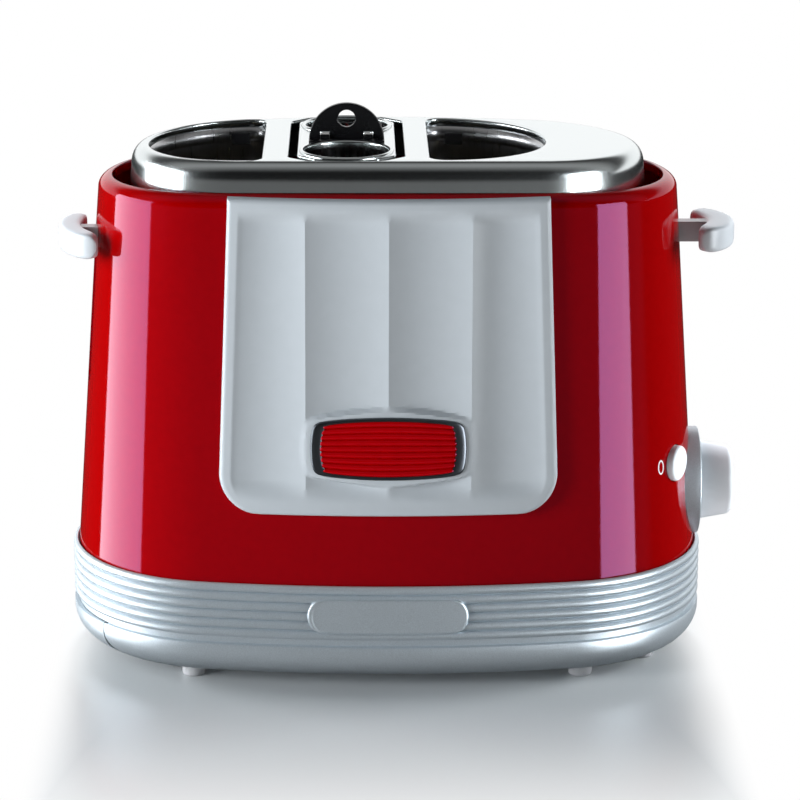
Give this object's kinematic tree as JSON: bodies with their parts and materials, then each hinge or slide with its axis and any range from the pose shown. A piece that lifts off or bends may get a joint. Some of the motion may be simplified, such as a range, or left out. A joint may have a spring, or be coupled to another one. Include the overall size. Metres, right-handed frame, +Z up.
{
  "type": "hot dog toaster",
  "caption": "Red enamelled counter-top hot dog toaster with two half-round bun slots, a lift-out sausage basket, twin levers, timer knob, stop button and crumb tray",
  "frame": {"origin": "On the table, under the middle of the whole object's box", "axes": "+X to the knob end, -Y to the front with the badge, +Z up"},
  "size_m": [0.3012, 0.1582, 0.2484],
  "materials": {
    "red_enamel": "gloss",
    "white_plastic": "gloss",
    "satin_silver": "satin",
    "chrome": "polished",
    "steel": "brushed",
    "grey_rubber": "matte",
    "grey_plastic": "satin",
    "black_gloss": "gloss",
    "dark_chrome": "polished",
    "badge_red": "gloss",
    "brushed_lid": "brushed",
    "black_plastic": "matte",
    "mica": "matte",
    "ribbon": "satin",
    "brass": "satin",
    "copper": "gloss",
    "circuit_green": "matte"
  },
  "bodies": {
    "housing": {"outer_shell": "red_enamel", "front_panel": "white_plastic", "badge_frame": "dark_chrome", "badge_insert": "badge_red", "base_ring": "satin_silver", "label_plate": "satin_silver", "base_plate": "steel", "base_screws": "steel", "feet": "grey_rubber", "cord_inlet": "black_plastic", "lid": "brushed_lid", "bun_chute_left": "steel", "bun_chute_right": "steel", "slot_clips": "black_plastic", "heat_shield": "steel", "heater_board_inner_left": "mica", "heater_board_inner_right": "mica", "heater_board_outer_left": "mica", "heater_board_outer_right": "mica", "heater_ribbon_inner_left": "ribbon", "heater_ribbon_inner_right": "ribbon", "heater_ribbon_outer_left": "ribbon", "heater_ribbon_outer_right": "ribbon", "bun_guard_left": "chrome", "bun_guard_right": "chrome", "guide_rod_left": "steel", "guide_rod_right": "steel", "return_springs": "steel", "magnet_bracket": "steel", "electromagnet": "copper", "board_bracket": "steel", "control_board": "circuit_green", "timer": "black_plastic", "dial_disc": "satin_silver", "stop_switch": "black_plastic"},
    "carriage": {"carriage_plate": "steel", "carriage_bushes": "brass", "bun_rest_left": "steel", "bun_rest_right": "steel", "basket_rest": "steel", "lever_arm_left": "grey_plastic", "lever_arm_right": "grey_plastic", "lever_left": "white_plastic", "lever_right": "white_plastic", "latch_plate": "steel"},
    "basket": {"basket_plate": "brushed_lid", "sausage_tube_front": "chrome", "sausage_tube_back": "chrome", "handle_base": "black_gloss", "handle_pin": "steel"},
    "handle": {"handle_flap": "black_gloss"},
    "knob": {"control_knob": "white_plastic", "timer_shaft": "steel"},
    "stop": {"stop_button": "white_plastic"},
    "tray": {"crumb_tray": "steel", "tray_front": "satin_silver"}
  },
  "joints": [
    {"name": "carriage_slide", "type": "slide", "parent": "housing", "child": "carriage", "axis": [0, 0, -1], "range_m": [0, 0.062], "stiffness_N_per_m": 80, "springref_m": -0.12, "deforming": ["return_springs"]},
    {"name": "basket_lift", "type": "slide", "parent": "carriage", "child": "basket", "axis": [0, 0, 1], "range_m": [0, 0.2]},
    {"name": "handle_fold", "type": "hinge", "parent": "basket", "child": "handle", "pos_m": [-0.0235, -0.0063, 0.2334], "axis": [1, 0, 0], "range_deg": [-84, 0]},
    {"name": "knob_turn", "type": "hinge", "parent": "housing", "child": "knob", "pos_m": [0.1351, 0, 0.0743], "axis": [1, 0, 0], "range_deg": [0, 270]},
    {"name": "stop_press", "type": "slide", "parent": "housing", "child": "stop", "axis": [-0.866, 0.5, 0], "range_m": [0, 0.002], "stiffness_N_per_m": 600, "springref_m": -0.002},
    {"name": "tray_pull", "type": "slide", "parent": "housing", "child": "tray", "axis": [-1, 0, 0], "range_m": [0, 0.16]}
  ]
}
